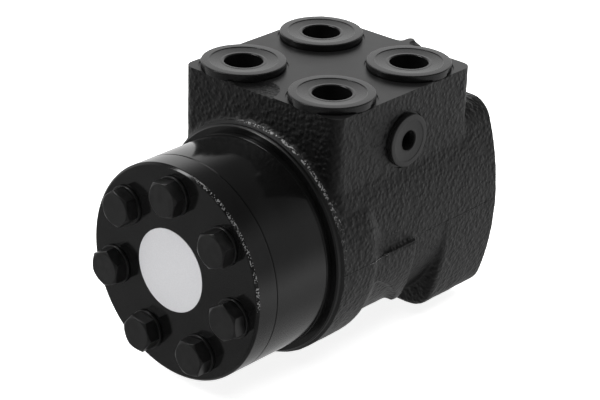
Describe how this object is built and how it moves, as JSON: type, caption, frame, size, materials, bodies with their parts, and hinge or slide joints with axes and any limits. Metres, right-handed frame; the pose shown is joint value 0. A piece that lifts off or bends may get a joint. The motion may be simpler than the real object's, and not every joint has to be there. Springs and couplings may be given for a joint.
{
  "type": "orbital steering unit",
  "caption": "Orbital hydrostatic steering unit: cast housing with port block, gear set under a bolted end cover, rotary valve and cardan shaft inside, flange for a steering column.",
  "frame": {"origin": "centre of the face that bolts to the steering column, on the spool axis", "axes": "+Y along the spool axis out of the column face, +Z out of the four main ports, +X out of the load-sensing port"},
  "size_m": [0.0926, 0.1437, 0.1079],
  "materials": {
    "casting_paint": "satin black paint over a grainy casting",
    "turned_paint": "satin black paint over turned steel",
    "screw_paint": "satin black paint over forged heads",
    "plug_plastic": "satin black plastic",
    "label_film": "matt off-white film",
    "ground_steel": "ground and hardened steel, oiled",
    "spring_steel": "blued spring steel",
    "cage_brass": "plain brass",
    "seal_rubber": "matt black nitrile rubber"
  },
  "bodies": {
    "casing": {"housing": "casting_paint", "distributor_plate": "turned_paint", "gear_ring": "turned_paint", "end_cover": "turned_paint", "cover_bolts": "screw_paint", "pin_bolt": "screw_paint", "bolt_washers": "screw_paint", "cover_label": "label_film", "housing_o_ring": "seal_rubber", "plate_o_ring": "seal_rubber", "cover_o_ring": "seal_rubber", "bearing_outer_race": "ground_steel", "shaft_seal": "seal_rubber", "dust_seal": "seal_rubber"},
    "valve_sleeve": {"sleeve": "ground_steel", "cross_pin": "ground_steel", "spring_ring": "spring_steel", "centring_springs": "spring_steel", "bearing_inner_race": "ground_steel"},
    "valve_spool": {"spool": "ground_steel"},
    "orbit_carrier": {"shaft_spacer": "ground_steel"},
    "orbiting_rotor": {"rotor": "ground_steel"},
    "cardan_shaft": {"drive_shaft": "ground_steel"},
    "needle_train": {"bearing_cage": "cage_brass", "bearing_needles": "ground_steel"},
    "ball": {"check_ball": "ground_steel"},
    "pressure_plug": {"pressure_port_plug": "plug_plastic"},
    "tank_plug": {"tank_port_plug": "plug_plastic"},
    "left_plug": {"left_port_plug": "plug_plastic"},
    "right_plug": {"right_port_plug": "plug_plastic"},
    "sensing_plug": {"sensing_port_plug": "plug_plastic"}
  },
  "joints": [
    {"name": "sleeve_turn", "type": "hinge", "parent": "casing", "child": "valve_sleeve", "pos_m": [0, 0, 0], "axis": [0, 1, 0], "continuous": true},
    {"name": "spool_turn", "type": "hinge", "parent": "valve_sleeve", "child": "valve_spool", "pos_m": [0, 0, 0], "axis": [0, 1, 0], "range_deg": [-10, 10], "stiffness_Nm_per_rad": 4, "deforming": ["centring_springs"]},
    {"name": "orbit_turn", "type": "hinge", "parent": "casing", "child": "orbit_carrier", "pos_m": [0, 0, 0], "axis": [0, 1, 0], "continuous": true},
    {"name": "rotor_turn", "type": "hinge", "parent": "orbit_carrier", "child": "orbiting_rotor", "pos_m": [0, 0, 0.0035], "axis": [0, 1, 0], "continuous": true},
    {"name": "drive_shaft_turn", "type": "hinge", "parent": "orbit_carrier", "child": "cardan_shaft", "pos_m": [0, -0.0333, 0], "axis": [0, 0.999, -0.0439], "continuous": true},
    {"name": "needle_train_turn", "type": "hinge", "parent": "casing", "child": "needle_train", "pos_m": [0, 0, 0], "axis": [0, 1, 0], "continuous": true},
    {"name": "check_ball_slide", "type": "slide", "parent": "casing", "child": "ball", "axis": [0, -1, 0], "range_m": [0, 0.0015]},
    {"name": "pressure_plug_pull", "type": "slide", "parent": "casing", "child": "pressure_plug", "axis": [0, 0, 1], "range_m": [0, 0.02]},
    {"name": "tank_plug_pull", "type": "slide", "parent": "casing", "child": "tank_plug", "axis": [0, 0, 1], "range_m": [0, 0.02]},
    {"name": "left_plug_pull", "type": "slide", "parent": "casing", "child": "left_plug", "axis": [0, 0, 1], "range_m": [0, 0.02]},
    {"name": "right_plug_pull", "type": "slide", "parent": "casing", "child": "right_plug", "axis": [0, 0, 1], "range_m": [0, 0.02]},
    {"name": "sensing_plug_pull", "type": "slide", "parent": "casing", "child": "sensing_plug", "axis": [1, 0, 0], "range_m": [0, 0.015]}
  ],
  "couplings": [
    {"joint": "orbit_turn", "follows": "sleeve_turn", "ratio": -6},
    {"joint": "rotor_turn", "follows": "sleeve_turn", "ratio": 7},
    {"joint": "drive_shaft_turn", "follows": "sleeve_turn", "ratio": 7},
    {"joint": "needle_train_turn", "follows": "sleeve_turn", "ratio": 0.5}
  ]
}
